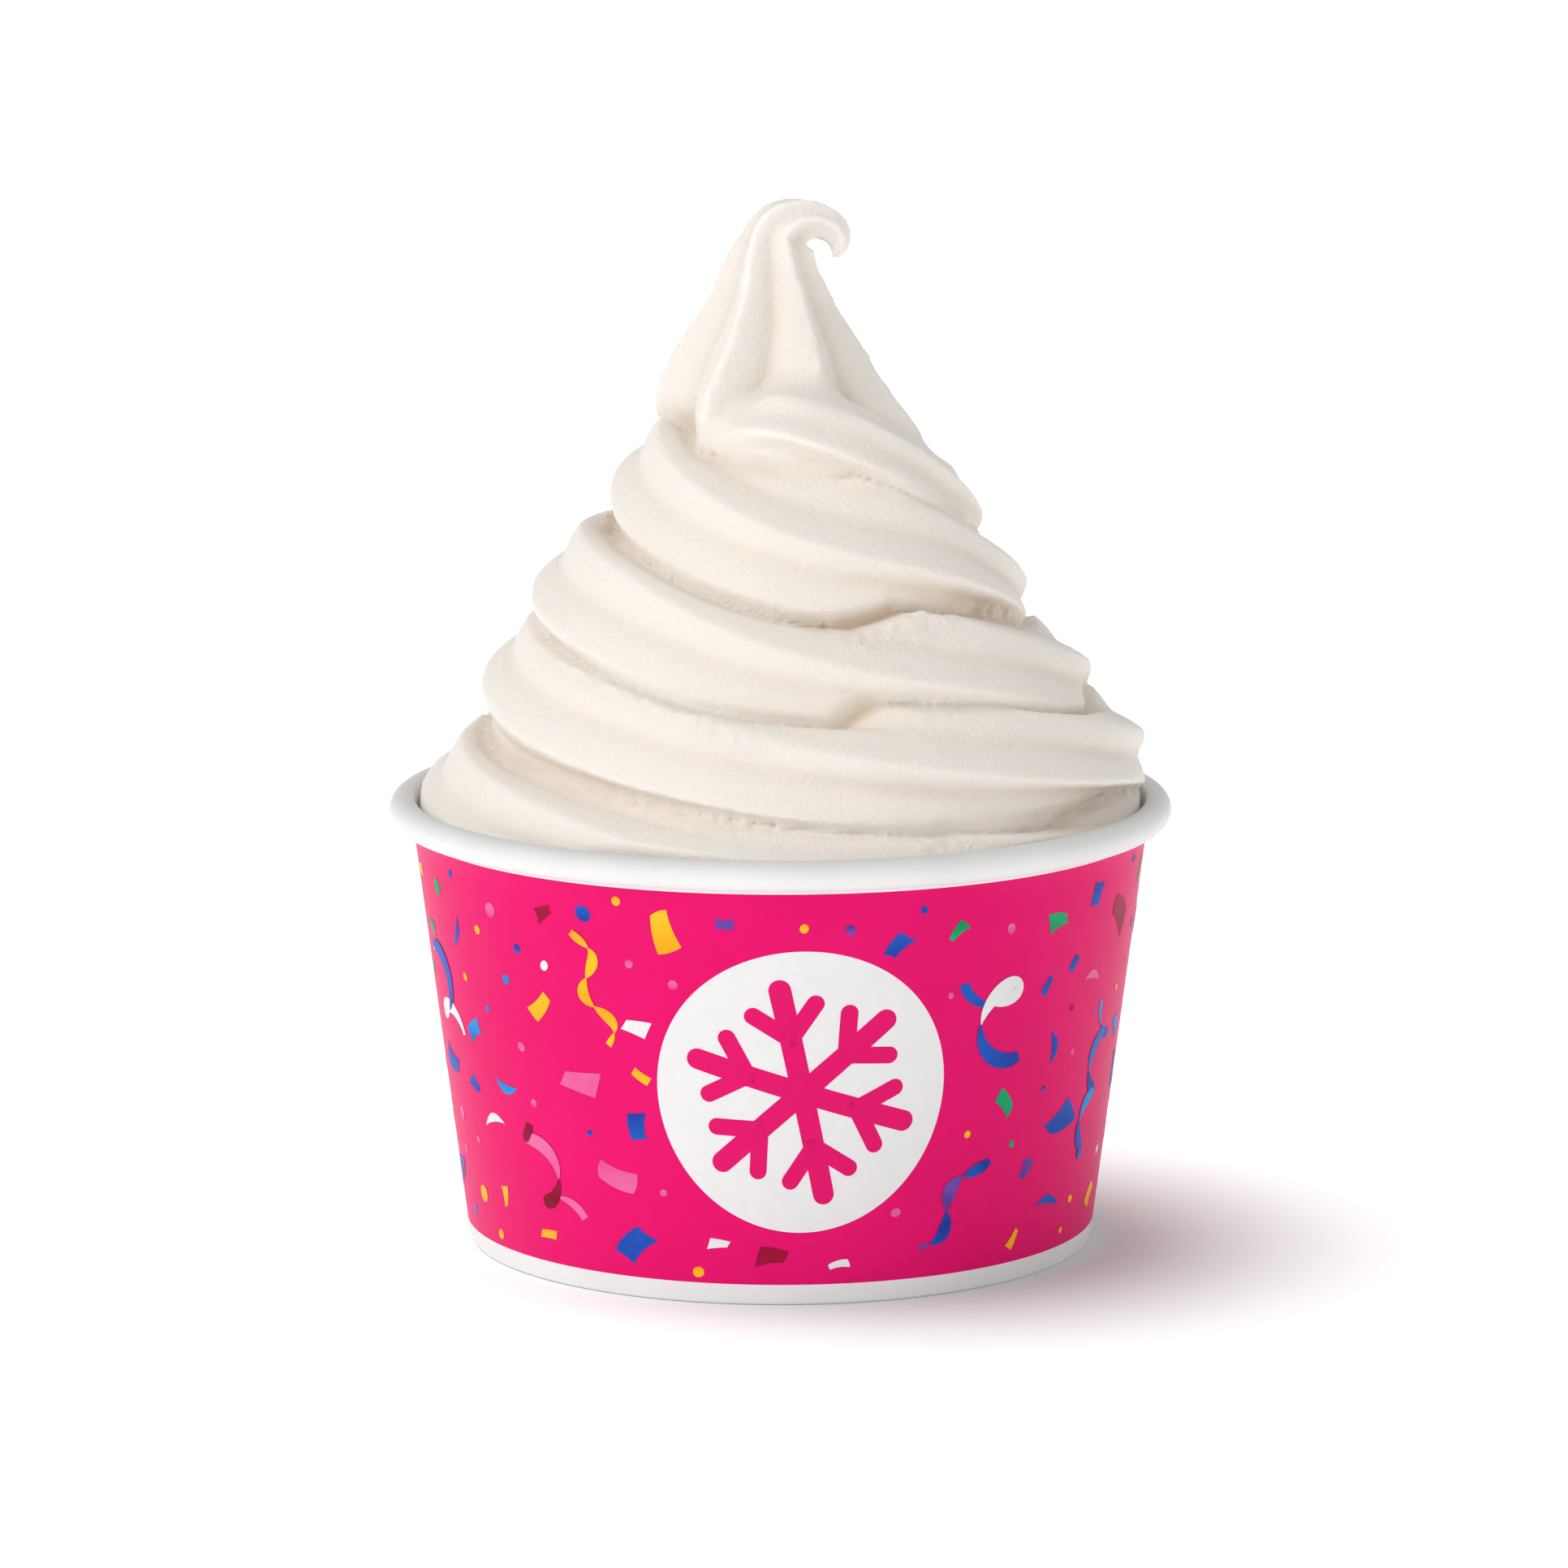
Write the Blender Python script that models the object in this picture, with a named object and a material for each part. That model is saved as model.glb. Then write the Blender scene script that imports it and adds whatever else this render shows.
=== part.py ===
# Frozen yogurt cup: a paper cup with a rolled rim, filled with a soft swirl
# that climbs in turns from the rim to a peak with a small hooked tip.
# Sizes below are in millimetres; meshes are written in metres.
# Origin: centre of the foot ring, on the ground. +Z is up, -Y is the front.

import math

import bmesh
import bpy
import numpy as np

MM = 0.001

# Cup sizes
CUP_HEIGHT = 66.5
FOOT_RADIUS = 46.0
WALL_TOP_RADIUS = 54.0
WALL_TOP_HEIGHT = 62.0
BOARD = 0.5
RIM_TUBE = 2.2
RIM_CENTRE_RADIUS = 55.3
FOOT_RING_WIDTH = 1.4
FOOT_ROUNDING = 0.5
BASE_UNDERSIDE = 6.0
BASE_THICKNESS = 0.6
CUP_SEGMENTS = 64

# Yogurt inside the cup
GAP = 0.3
FILL_TOP = 63.0

# Rope of yogurt: outer radius and height of its centre line, one row for each
# turn from the top, at eight places: right, back right, back, back left, left,
# front left, front, front right
TURN_RADIUS = (
    (29.1, 29.2, 27.8, 26.2, 25.1, 27.4, 31.2, 34.8),
    (36.6, 37.4, 37.4, 37.0, 36.8, 38.0, 40.0, 43.3),
    (46.2, 46.9, 46.3, 45.2, 44.2, 45.0, 47.1, 50.8),
    (54.1, 55.8, 55.7, 55.0, 54.4, 55.3, 57.2, 59.0),
    (60.7, 62.1, 63.4),
)
TURN_HEIGHT = (
    (110.2, 107.0, 107.8, 109.6, 111.4, 110.5, 108.0, 105.8),
    (97.8, 92.6, 93.0, 94.4, 95.6, 96.0, 92.4, 90.1),
    (84.8, 80.0, 80.0, 81.2, 82.4, 82.1, 80.3, 78.6),
    (74.5, 68.5, 66.0, 64.8, 64.4, 64.2, 62.2, 60.4),
    (60.2, 57.5, 55.0),
)
ROPE_HALF_WIDTH = 9.4
ROPE_HALF_HEIGHT = 12.2
FRONT_FLATTENING = 0.06
RIGHT_FLATTENING = 0.27
LEAN = 0.33
RIGHT_LEAN = 0.14
FRONT_LEAN = 0.30

# Star section of the rope
RIDGES = 6
RIDGE_DEPTH = 0.27
PEAK_RIDGE_DEPTH = 0.32
RIDGE_SHARPNESS = 0.9
TWIST_PER_TURN = 240.0

# Crevice between two turns: its reach on the lower and on the upper turn, as
# shares of the rope, and its depth
GROOVE_SHARE = 0.15
GROOVE_LIP_SHARE = 0.045
GROOVE_DEPTH = 1.5
PEAK_GROOVE = 0.6

# Seam between the peak and the start of the rope: its reach as a share, and the
# number of times it is evened out
SEAM_SHARE = 0.30
SEAM_STEPS = 60

# Start of the rope under the peak: turn, outer radius, height, half width
# and half height, and how far its ridges are turned there
START = (
    (-0.3750, 17.4, 121.6, 3.0, 2.6),
    (-0.3125, 20.0, 122.0, 5.0, 4.2),
    (-0.2500, 23.0, 123.4, 6.6, 6.0),
    (-0.1875, 25.2, 122.0, 7.4, 7.6),
    (-0.1250, 27.0, 118.6, 8.0, 8.8),
    (0.0000, 29.1, 110.2, 8.7, 10.8),
)
START_TURNED = 50.0

# Peak: sideways place, place from front to back, height, size of the section
# and angle of its front ridge, from the bottom up to the end of the hooked tip
PEAK = (
    (7.0, 2.0, 113.0, 9.0, -42.0),
    (4.2, 1.0, 116.2, 15.5, -42.0),
    (2.2, 0.2, 119.2, 19.4, -41.0),
    (0.2, -0.2, 122.4, 19.0, -38.0),
    (-1.2, -0.2, 126.4, 17.2, -34.0),
    (-1.5, -0.1, 130.0, 15.2, -31.0),
    (-1.6, 0.0, 133.4, 13.2, -28.0),
    (-1.6, 0.0, 138.1, 10.0, -26.0),
    (-1.3, 0.0, 142.4, 7.9, -29.0),
    (-0.7, 0.0, 146.1, 6.4, -38.0),
    (0.3, 0.0, 149.2, 5.0, -50.0),
    (3.0, 0.0, 150.6, 3.9, -62.0),
    (6.0, 0.0, 150.4, 3.0, -72.0),
    (8.0, 0.0, 149.0, 2.4, -78.0),
    (8.4, 0.0, 147.4, 1.95, -80.0),
    (8.0, 0.0, 146.4, 1.6, -80.0),
    (7.4, 0.0, 146.2, 1.1, -80.0),
)

# Below this height the peak's sections are level
PEAK_LEVEL_BELOW = 142.0

# Core that closes the middle of the swirl
CORE_INSET = 9.0
CORE_FOOT = 40.0
CORE_TOP = 122.0

SWEEP_STEPS_PER_TURN = 72
SECTION_POINTS = 48
VOXEL = 0.6
SWIRL_FACES = 11400


def clear_scene():
    for obj in list(bpy.data.objects):
        bpy.data.objects.remove(obj, do_unlink=True)


def make_material(name, colour, roughness):
    material = bpy.data.materials.new(name)
    material.use_nodes = True
    shader = material.node_tree.nodes["Principled BSDF"]
    shader.inputs["Base Color"].default_value = (*colour, 1.0)
    shader.inputs["Roughness"].default_value = roughness
    return material


def add_object(name, bm):
    mesh = bpy.data.meshes.new(name)
    bm.to_mesh(mesh)
    bm.free()
    obj = bpy.data.objects.new(name, mesh)
    bpy.context.scene.collection.objects.link(obj)
    return obj


def lathe(profile, segments):
    """Closed ring or solid from (radius, height) points in order."""
    bm = bmesh.new()
    rings = []
    for radius, height in profile:
        if radius < 1e-6:
            rings.append([bm.verts.new((0.0, 0.0, height * MM))])
            continue
        ring = []
        for k in range(segments):
            angle = 2.0 * math.pi * k / segments
            x = radius * math.cos(angle) * MM
            y = radius * math.sin(angle) * MM
            ring.append(bm.verts.new((x, y, height * MM)))
        rings.append(ring)
    for i in range(len(rings)):
        first = rings[i]
        second = rings[(i + 1) % len(rings)]
        if len(first) == 1 and len(second) == 1:
            continue
        for k in range(segments):
            n = (k + 1) % segments
            if len(first) == 1:
                bm.faces.new((first[0], second[n], second[k]))
            elif len(second) == 1:
                bm.faces.new((first[k], first[n], second[0]))
            else:
                bm.faces.new((first[k], first[n], second[n], second[k]))
    bmesh.ops.recalc_face_normals(bm, faces=bm.faces)
    return bm


def wall_radius(height):
    """Outer radius of the wall at a height."""
    slope = (WALL_TOP_RADIUS - FOOT_RADIUS) / WALL_TOP_HEIGHT
    return FOOT_RADIUS + slope * height


def arc(centre_radius, centre_height, size, start, end, steps):
    points = []
    for k in range(steps + 1):
        angle = math.radians(start + (end - start) * k / steps)
        radius = centre_radius + size * math.cos(angle)
        height = centre_height + size * math.sin(angle)
        points.append((radius, height))
    return points


def cup_profile():
    rim_height = CUP_HEIGHT - RIM_TUBE
    inner_side = wall_radius(rim_height) - BOARD
    base_top = BASE_UNDERSIDE + BASE_THICKNESS
    join = math.degrees(math.acos((inner_side - RIM_CENTRE_RADIUS) / RIM_TUBE))
    profile = [(0.0, BASE_UNDERSIDE)]
    ring_inside = FOOT_RADIUS - FOOT_RING_WIDTH
    profile.append((wall_radius(BASE_UNDERSIDE) - FOOT_RING_WIDTH, BASE_UNDERSIDE))
    profile.append((ring_inside, 0.3))
    profile.append((ring_inside + 0.3, 0.0))
    foot = arc(FOOT_RADIUS - FOOT_ROUNDING, FOOT_ROUNDING, FOOT_ROUNDING, -90.0, 0.0, 3)
    profile.extend(foot)
    profile.append((wall_radius(20.0), 20.0))
    profile.append((wall_radius(40.0), 40.0))
    profile.append((wall_radius(WALL_TOP_HEIGHT - 0.6), WALL_TOP_HEIGHT - 0.6))
    profile.extend(arc(RIM_CENTRE_RADIUS, rim_height, RIM_TUBE, -110.0, join, 12))
    profile.append((wall_radius(40.0) - BOARD, 40.0))
    profile.append((wall_radius(20.0) - BOARD, 20.0))
    profile.append((wall_radius(base_top) - BOARD, base_top))
    profile.append((0.0, base_top))
    return profile


def fill_profile():
    bottom = BASE_UNDERSIDE + BASE_THICKNESS + GAP
    inset = BOARD + GAP
    profile = [(0.0, bottom)]
    profile.append((wall_radius(bottom) - inset, bottom))
    profile.append((wall_radius(30.0) - inset, 30.0))
    profile.append((wall_radius(FILL_TOP) - inset, FILL_TOP))
    profile.append((0.0, FILL_TOP + 4.0))
    return profile


def smooth(xs, ys, x):
    """Cubic curve through the points (xs, ys), read at the places x."""
    xs = np.asarray(xs, float)
    ys = np.asarray(ys, float)
    last = len(xs) - 1
    i = np.clip(np.searchsorted(xs, x) - 1, 0, last - 1)
    low = np.maximum(np.arange(last + 1) - 1, 0)
    high = np.minimum(np.arange(last + 1) + 1, last)
    slopes = (ys[high] - ys[low]) / (xs[high] - xs[low])
    step = xs[i + 1] - xs[i]
    t = (x - xs[i]) / step
    a = 2.0 * t ** 3 - 3.0 * t ** 2 + 1.0
    b = t ** 3 - 2.0 * t ** 2 + t
    c = -2.0 * t ** 3 + 3.0 * t ** 2
    d = t ** 3 - t ** 2
    return a * ys[i] + b * step * slopes[i] + c * ys[i + 1] + d * step * slopes[i + 1]


def ridge_size(phi, phase, depth):
    """Size of a star section in a direction, where its ridges have size 1."""
    wave = np.arcsin(np.abs(np.sin(0.5 * RIDGES * (phi - np.radians(phase))))) / (0.5 * math.pi)
    return 1.0 - depth * wave ** RIDGE_SHARPNESS


def star_section(width, tall, lean, phase, depth):
    """Sideways and upward distances of the points of a star section."""
    phi = 2.0 * math.pi * np.arange(SECTION_POINTS) / SECTION_POINTS
    size = ridge_size(phi, phase, depth)
    side = (width * np.cos(phi) - lean * tall * np.sin(phi)) * size
    return side, tall * np.sin(phi) * size


def rope_phase(turn):
    """Angle of the rope's first ridge: it twists evenly, and is turned near its start."""
    return START_TURNED * np.clip((0.30 - turn) / 0.40, 0.0, 1.0) - TWIST_PER_TURN * turn


def rope_rows():
    rows = list(START)
    radii = [value for turn in TURN_RADIUS for value in turn]
    heights = [value for turn in TURN_HEIGHT for value in turn]
    for k in range(1, len(radii)):
        rows.append((0.125 * k, radii[k], heights[k], ROPE_HALF_WIDTH, ROPE_HALF_HEIGHT))
    return list(zip(*rows))


ROPE = rope_rows()


def rope_at(turn):
    """Outer radius, height, half width, half height and lean of the rope."""
    radius, height, width, tall = [smooth(ROPE[0], column, turn) for column in ROPE[1:]]
    angle = 2.0 * math.pi * turn
    front = np.maximum(0.0, -np.sin(angle))
    right = np.maximum(0.0, np.cos(angle)) ** 2
    tall = tall * (1.0 - FRONT_FLATTENING * front - RIGHT_FLATTENING * right)
    lean = LEAN + RIGHT_LEAN * np.cos(angle) + FRONT_LEAN * front
    return radius, height, width, tall, lean


def turn_rings():
    steps = int((ROPE[0][-1] - ROPE[0][0]) * SWEEP_STEPS_PER_TURN)
    rings = []
    for turn in np.linspace(ROPE[0][0], ROPE[0][-1], steps + 1):
        radius, height, width, tall, lean = rope_at(turn)
        angle = 2.0 * math.pi * turn
        side, rise = star_section(width, tall, lean, rope_phase(turn), RIDGE_DEPTH)
        distance = radius - width + side
        ring = (distance * math.cos(angle), distance * math.sin(angle), height + rise)
        rings.append(np.stack(ring, axis=1))
    return rings


def peak_rings():
    knots = np.arange(len(PEAK))
    columns = list(zip(*PEAK))
    places = np.linspace(0.0, len(PEAK) - 1.0, 16 * (len(PEAK) - 1) + 1)
    centres = np.stack([smooth(knots, columns[axis], places) for axis in range(3)], axis=1)
    sizes = smooth(knots, columns[3], places)
    angles = smooth(knots, columns[4], places)
    tangents = np.gradient(centres, axis=0)
    rings = []
    for centre, size, ridge, tangent in zip(centres, sizes, angles, tangents):
        along = tangent / np.linalg.norm(tangent)
        if centre[2] < PEAK_LEVEL_BELOW:
            along = np.array([0.0, 0.0, 1.0])
        forward = np.array([0.0, -1.0, 0.0])
        forward = forward - along * np.dot(forward, along)
        forward /= np.linalg.norm(forward)
        right = np.cross(along, forward)
        side, rise = star_section(size, size, 0.0, ridge, PEAK_RIDGE_DEPTH)
        rings.append(centre + np.outer(side, forward) + np.outer(rise, right))
    return rings


def nearness(points):
    """For each point and each turn of the rope, the peak first: 1 on its surface, more outside."""
    x, y, z = points.T
    azimuth = np.mod(np.arctan2(y, x), 2.0 * math.pi) / (2.0 * math.pi)
    levels = [row for row in PEAK if row[2] < PEAK_LEVEL_BELOW]
    columns = list(zip(*levels))
    middle_x, middle_y, size, ridge = [np.interp(z, columns[2], columns[k]) for k in (0, 1, 3, 4)]
    side = middle_y - y
    rise = x - middle_x
    phi = np.arctan2(rise, side)
    share = np.hypot(side, rise) / (size * ridge_size(phi, ridge, PEAK_RIDGE_DEPTH))
    share[z < levels[0][2]] = 9.0
    share[z > levels[-1][2]] = 1.0
    shares = [share]
    for number in range(-1, 5):
        turn = azimuth + number
        inside = (turn >= ROPE[0][0]) & (turn <= ROPE[0][-1])
        turn = np.clip(turn, ROPE[0][0], ROPE[0][-1])
        radius, height, width, tall, lean = rope_at(turn)
        rise = z - height
        side = np.hypot(x, y) - radius + width + lean * rise
        phi = np.arctan2(rise / tall, side / width)
        share = np.hypot(side / width, rise / tall) / ridge_size(phi, rope_phase(turn), RIDGE_DEPTH)
        shares.append(np.where(inside, share, 9.0))
    return np.stack(shares, axis=1)


def keep_inside_cup(point):
    """Pull a point below the rim inside the wall, with a gap."""
    x, y, z = point
    radius = math.hypot(x, y)
    if z > CUP_HEIGHT + 1.2:
        return point
    inside = min(wall_radius(z) - BOARD, RIM_CENTRE_RADIUS - RIM_TUBE)
    limit = inside - 2.0 * GAP
    if radius <= limit:
        return point
    scale = limit / radius
    return np.array([x * scale, y * scale, z])


def sweep_mesh(rings):
    """Closed tube through rings of points."""
    bm = bmesh.new()
    layers = []
    for ring in rings:
        layers.append([bm.verts.new(tuple(keep_inside_cup(point) * MM)) for point in ring])
    for first, second in zip(layers, layers[1:]):
        for k in range(SECTION_POINTS):
            n = (k + 1) % SECTION_POINTS
            bm.faces.new((first[k], first[n], second[n], second[k]))
    for layer, ring in ((layers[0], rings[0]), (layers[-1], rings[-1])):
        middle = bm.verts.new(tuple(keep_inside_cup(ring.mean(axis=0)) * MM))
        for k in range(SECTION_POINTS):
            n = (k + 1) % SECTION_POINTS
            bm.faces.new((layer[k], layer[n], middle))
    bmesh.ops.recalc_face_normals(bm, faces=bm.faces)
    return bm


def core_mesh():
    """Plain cone of yogurt behind the turns."""
    profile = [(0.0, CORE_FOOT), (WALL_TOP_RADIUS - 12.0, CORE_FOOT)]
    for turn in (3, 2, 1, 0):
        radius = TURN_RADIUS[turn][4] - CORE_INSET
        profile.append((radius, TURN_HEIGHT[turn][4]))
    profile.append((0.0, CORE_TOP))
    return lathe(profile, 48)


def apply_modifier(obj, kind, **settings):
    modifier = obj.modifiers.new(kind.title(), kind)
    for key, value in settings.items():
        setattr(modifier, key, value)
    bpy.context.view_layer.objects.active = obj
    bpy.ops.object.modifier_apply(modifier=modifier.name)


def read_vectors(collection, key):
    values = np.empty(3 * len(collection), np.float32)
    collection.foreach_get(key, values)
    return values.reshape(-1, 3).astype(float)


def write_points(obj, points):
    obj.data.vertices.foreach_set("co", points.astype(np.float32).ravel())
    obj.data.update()


def soften_seam(obj):
    """Round off the seam where the rope starts out of the peak."""
    points = read_vectors(obj.data.vertices, "co")
    shares = nearness(points / MM)
    weight = np.exp(-((shares[:, 0] - shares[:, 1]) / SEAM_SHARE) ** 2)
    weight[np.minimum(shares[:, 0], shares[:, 1]) > np.min(shares[:, 2:], axis=1)] = 0.0
    edges = np.empty(2 * len(obj.data.edges), np.int32)
    obj.data.edges.foreach_get("vertices", edges)
    near = np.concatenate((edges[0::2], edges[1::2]))
    far = np.concatenate((edges[1::2], edges[0::2]))
    count = np.bincount(near, minlength=len(points))[:, None]
    for step in range(SEAM_STEPS):
        sums = [np.bincount(near, points[far, axis], len(points)) for axis in range(3)]
        points += 0.7 * weight[:, None] * (np.stack(sums, axis=1) / count - points)
    write_points(obj, points)


def carve_crevices(obj):
    """Sink the surface where two turns meet, mostly on the lower turn."""
    points = read_vectors(obj.data.vertices, "co")
    normals = read_vectors(obj.data.vertices, "normal")
    shares = nearness(points / MM)
    order = np.argsort(shares, axis=1)
    rows = np.arange(len(points))
    gap = shares[rows, order[:, 1]] - shares[rows, order[:, 0]]
    lower = order[:, 0] > order[:, 1]
    reach = np.where(lower, GROOVE_SHARE, GROOVE_LIP_SHARE)
    depth = GROOVE_DEPTH * np.exp(-(gap / reach) ** 2)
    at_peak = (order[:, 0] == 0) | (order[:, 1] == 0)
    at_start = order[:, 0] + order[:, 1] == 1
    depth *= np.where(at_peak, PEAK_GROOVE, 1.0)
    depth[at_start] = 0.0
    write_points(obj, points - normals * (depth * MM)[:, None])


def build_yogurt():
    turns = add_object("yogurt_turns", sweep_mesh(turn_rings()))
    peak = add_object("yogurt_peak", sweep_mesh(peak_rings()))
    core = add_object("yogurt_core", core_mesh())
    swirl_mesh = bmesh.new()
    for piece in (turns, peak, core):
        swirl_mesh.from_mesh(piece.data)
        bpy.data.objects.remove(piece, do_unlink=True)
    swirl = add_object("yogurt", swirl_mesh)
    apply_modifier(swirl, "REMESH", mode="VOXEL", voxel_size=VOXEL * MM, adaptivity=0.0)
    soften_seam(swirl)
    carve_crevices(swirl)
    faces = 2 * len(swirl.data.polygons)
    apply_modifier(swirl, "TRIANGULATE")
    apply_modifier(swirl, "DECIMATE", ratio=SWIRL_FACES / faces)
    fill = add_object("yogurt_fill", lathe(fill_profile(), CUP_SEGMENTS))
    apply_modifier(swirl, "BOOLEAN", operation="UNION", object=fill, solver="EXACT")
    bpy.data.objects.remove(fill, do_unlink=True)
    return swirl


def main():
    clear_scene()
    cup = add_object("cup", lathe(cup_profile(), CUP_SEGMENTS))
    cup.data.materials.append(make_material("printed_board", (0.80, 0.03, 0.22), 0.45))
    yogurt = build_yogurt()
    yogurt.data.materials.append(make_material("frozen_yogurt", (0.88, 0.84, 0.77), 0.5))
    for obj in (cup, yogurt):
        for polygon in obj.data.polygons:
            polygon.use_smooth = True


main()
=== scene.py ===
# Frozen yogurt cup: a printed paper cup with a rolled white rim, filled with a
# soft swirl that ends in a hooked tip. Sizes are in millimetres unless a name
# says otherwise; meshes are written in metres.
import math
import random

import bmesh
import bpy
import numpy as np
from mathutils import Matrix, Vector, noise


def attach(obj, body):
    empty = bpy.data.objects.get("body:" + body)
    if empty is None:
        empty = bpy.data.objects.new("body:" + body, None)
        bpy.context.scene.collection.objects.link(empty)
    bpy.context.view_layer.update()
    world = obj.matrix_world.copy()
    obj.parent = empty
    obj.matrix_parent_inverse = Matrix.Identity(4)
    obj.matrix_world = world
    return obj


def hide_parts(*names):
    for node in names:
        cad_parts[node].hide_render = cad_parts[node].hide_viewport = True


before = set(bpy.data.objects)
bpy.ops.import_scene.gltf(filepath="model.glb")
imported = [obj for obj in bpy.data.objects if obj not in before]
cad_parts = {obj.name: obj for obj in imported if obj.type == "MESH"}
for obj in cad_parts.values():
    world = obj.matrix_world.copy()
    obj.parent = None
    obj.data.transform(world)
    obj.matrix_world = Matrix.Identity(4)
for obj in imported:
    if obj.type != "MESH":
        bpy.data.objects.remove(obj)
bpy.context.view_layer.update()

MM = 0.001

# Cup
CUP_HEIGHT = 66.5
FOOT_RADIUS = 46.0
WALL_TOP_RADIUS = 54.0
WALL_TOP_HEIGHT = 62.0
BOARD = 0.5
RIM_TUBE = 2.2
RIM_CENTRE_RADIUS = 55.3
RIM_START_ANGLE = -112.0
FOOT_RING_WIDTH = 1.4
FOOT_ROUNDING = 0.5
FOOT_CHAMFER = 0.3
BASE_UNDERSIDE = 6.0
BASE_THICKNESS = 0.6
WHITE_BAND = 3.1
CUP_SEGMENTS = 320
PRINT_TOP = WALL_TOP_HEIGHT - 0.6
OUTER_RINGS = (12.0, 24.0, 36.0, 48.0, 58.0)
INNER_RINGS = (58.0, 40.0, 20.0)

# Yogurt inside the cup: the gap to the cup, the level filling, and the height
# above which the swirl may reach past the wall
GAP = 0.08
FILL_TOP = 63.0
FILL_TOP_RADIUS = 52.4
FILL_EDGE = 0.8
FILL_RING = 30.0
FILL_SEGMENTS = 160
FREE_ABOVE = CUP_HEIGHT + 1.2

# Rope of yogurt: outer radius and height of its centre line, one row for each
# turn from the top, at eight places: right, back right, back, back left, left,
# front left, front, front right
TURN_RADIUS = (
    (29.1, 29.2, 27.8, 26.2, 25.1, 27.4, 31.2, 34.8),
    (36.6, 37.4, 37.4, 37.0, 36.8, 38.0, 40.0, 43.3),
    (46.2, 46.9, 46.3, 45.2, 44.2, 45.0, 47.1, 50.8),
    (54.1, 55.8, 55.7, 55.0, 54.4, 55.3, 57.2, 59.0),
    (60.7, 62.1, 63.4),
)
TURN_HEIGHT = (
    (110.2, 107.0, 107.8, 109.6, 111.4, 110.5, 108.0, 105.8),
    (97.8, 92.6, 93.0, 94.4, 95.6, 96.0, 92.4, 90.1),
    (84.8, 80.0, 80.0, 81.2, 82.4, 82.1, 80.3, 78.6),
    (74.5, 68.5, 66.0, 64.8, 64.4, 64.2, 62.2, 60.4),
    (60.2, 57.5, 55.0),
)
ROPE_HALF_WIDTH = 9.4
ROPE_HALF_HEIGHT = 12.2
FRONT_FLATTENING = 0.06
RIGHT_FLATTENING = 0.27
LEAN = 0.33
RIGHT_LEAN = 0.14
FRONT_LEAN = 0.30

# Star section of the rope
RIDGES = 6
RIDGE_DEPTH = 0.27
PEAK_RIDGE_DEPTH = 0.32
RIDGE_SHARPNESS = 0.9
TWIST_PER_TURN = 240.0
FIRST_RIDGE = 7.0

# Start of the rope under the peak: turn, outer radius, height, half width
# and half height, and how far its ridges are turned there
START = (
    (-0.3750, 17.4, 121.6, 3.0, 2.6),
    (-0.3125, 20.0, 122.0, 5.0, 4.2),
    (-0.2500, 23.0, 123.4, 6.6, 6.0),
    (-0.1875, 25.2, 122.0, 7.4, 7.6),
    (-0.1250, 27.0, 118.6, 8.0, 8.8),
    (0.0000, 29.1, 110.2, 8.7, 10.8),
)
START_TURNED = 43.0

# Peak: sideways place, place from front to back, height, size of the section
# and angle of its front ridge, from the bottom up to the end of the hooked tip
PEAK = (
    (7.0, 2.0, 113.0, 9.0, -42.0),
    (4.2, 1.0, 116.2, 15.5, -42.0),
    (2.2, 0.2, 119.2, 19.4, -41.0),
    (0.2, -0.2, 122.4, 19.0, -38.0),
    (-1.2, -0.2, 126.4, 17.2, -34.0),
    (-1.5, -0.1, 130.0, 15.2, -31.0),
    (-1.6, 0.0, 133.4, 13.2, -28.0),
    (-1.6, 0.0, 138.1, 10.0, -26.0),
    (-1.3, 0.0, 142.4, 7.9, -29.0),
    (-0.7, 0.0, 146.1, 6.4, -38.0),
    (0.3, 0.0, 149.2, 5.0, -50.0),
    (3.0, 0.0, 150.6, 3.9, -62.0),
    (6.0, 0.0, 150.4, 3.0, -72.0),
    (8.0, 0.0, 149.0, 2.4, -78.0),
    (8.4, 0.0, 147.4, 1.95, -80.0),
    (8.0, 0.0, 146.4, 1.6, -80.0),
    (7.4, 0.0, 146.2, 1.1, -80.0),
)
PEAK_LEVEL_BELOW = 142.0

# Core that closes the middle of the swirl: how far inside the turns it stays, the
# height and radius of its foot, its radius at the filling, and its top
CORE_INSET = 9.0
CORE_FOOT = 52.0
CORE_FOOT_RADIUS = WALL_TOP_RADIUS - 6.0
CORE_FILL_RADIUS = WALL_TOP_RADIUS - 4.0
CORE_TOP = 122.0
CORE_SEGMENTS = 96

# Fineness of the swept surfaces and of the joined one
SWEEP_STEPS_PER_TURN = 240
SECTION_POINTS = 96
VOXEL = 0.48

# Half the width of the gaps that are filled, the height up to which they are, and
# the distance over which this fades out below it
GAP_FILLED = 0.85
FILLED_BELOW = 125.0
FILLED_FADE = 8.0

# Crevice between two turns: its reach on the lower and on the upper turn, as
# shares of the rope, and its depth, which is less under the peak and at the lip,
# where the rope's start lies on the first turn and the crevice opens to the right
GROOVE_SHARE = 0.10
GROOVE_LIP_SHARE = 0.045
GROOVE_DEPTH = 3.2
PEAK_GROOVE = 0.3
LIP_GROOVE = 0.4
LIP_FADE = 14.0

# Painted shade and painted highlight from the shape: steps of evening out that show valleys and ridges,
# the height of a full ridge, and the heights over which valleys get their painted shade
VALLEY_STEPS = 100
EDGE_STEPS = 14
EDGE_HEIGHT = 0.16
VALLEY_FROM = 62.0
VALLEY_FADE = 16.0

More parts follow.
